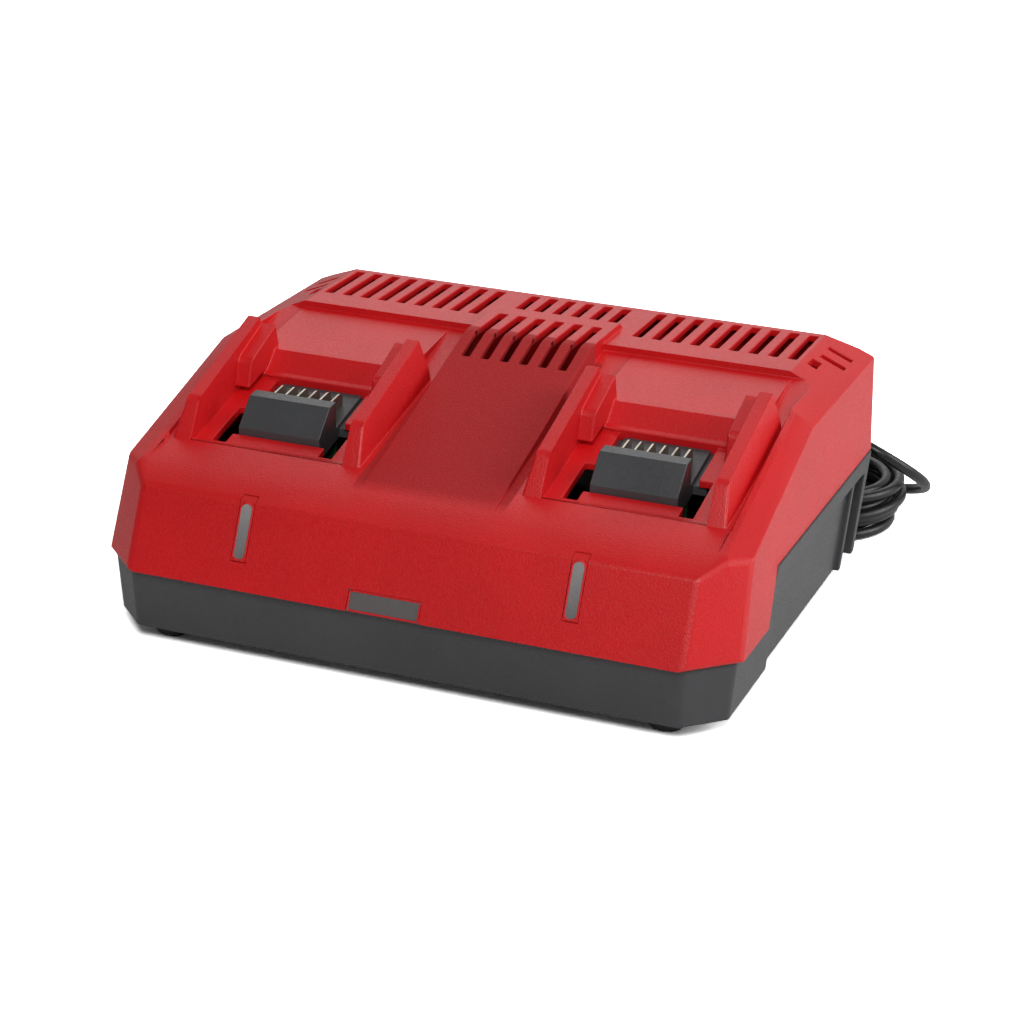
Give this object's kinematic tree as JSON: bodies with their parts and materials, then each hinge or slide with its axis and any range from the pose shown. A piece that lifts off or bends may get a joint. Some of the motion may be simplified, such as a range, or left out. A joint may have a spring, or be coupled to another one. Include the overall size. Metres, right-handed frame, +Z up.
{
  "type": "power tool battery charger",
  "caption": "Wide tabletop charger with twin sloped battery bays between upright rails, louvred top, dark base on round feet, coiled mains cord with plug.",
  "frame": {"origin": "on the table under the middle of the housing, cord and plug left out", "axes": "+X to the charger's right as seen by its user, +Y to its back, +Z up"},
  "size_m": [0.287, 0.3078, 0.1103],
  "materials": {
    "red_shell": "fine moulded texture",
    "dark_base": "fine moulded texture",
    "terminal_plastic": "satin",
    "contact_metal": "tinned spring strip",
    "clear_lens": "frosted",
    "circuit_board": "solder mask",
    "heat_sink": "extruded",
    "relay_case": "satin",
    "fan_plastic": "satin",
    "screw_steel": "zinc plated",
    "rubber_foot": "matt",
    "core_iron": "varnished laminations",
    "winding_tape": "polyester tape",
    "capacitor_sleeve": "shrink sleeve",
    "lamp_epoxy": "moulded",
    "cord_rubber": "satin",
    "pin_metal": "nickel plated"
  },
  "bodies": {
    "housing": {"top_cover": "red_shell", "base_cover": "dark_base", "terminal_block_right": "terminal_plastic", "terminal_block_left": "terminal_plastic", "contact_blades_right": "contact_metal", "contact_blades_left": "contact_metal", "status_lens_right": "clear_lens", "status_lens_left": "clear_lens", "power_lens": "clear_lens", "terminal_riser_right": "circuit_board", "terminal_riser_left": "circuit_board", "heat_sink_right": "heat_sink", "heat_sink_left": "heat_sink", "charge_relay_right": "relay_case", "charge_relay_left": "relay_case", "fan_frame": "fan_plastic", "main_circuit_board": "circuit_board", "board_screws": "screw_steel", "housing_screws": "screw_steel", "foot_front_right": "rubber_foot", "foot_rear_right": "rubber_foot", "foot_front_left": "rubber_foot", "foot_rear_left": "rubber_foot", "transformer_core": "core_iron", "transformer_winding": "winding_tape", "transformer_base": "fan_plastic", "input_capacitors": "capacitor_sleeve", "output_capacitors": "capacitor_sleeve", "indicator_board": "circuit_board", "indicator_lamps": "lamp_epoxy", "cord_strain_relief": "cord_rubber", "cord_coil": "cord_rubber", "cord_lead": "cord_rubber", "cord_tail": "cord_rubber", "plug_body": "cord_rubber", "plug_pin_front": "pin_metal", "plug_pin_back": "pin_metal"},
    "fan": {"fan_rotor": "fan_plastic"}
  },
  "joints": [
    {"name": "fan_spin", "type": "hinge", "parent": "housing", "child": "fan", "pos_m": [0, 0.052, 0.0169], "axis": [0, 0, 1], "continuous": true}
  ]
}
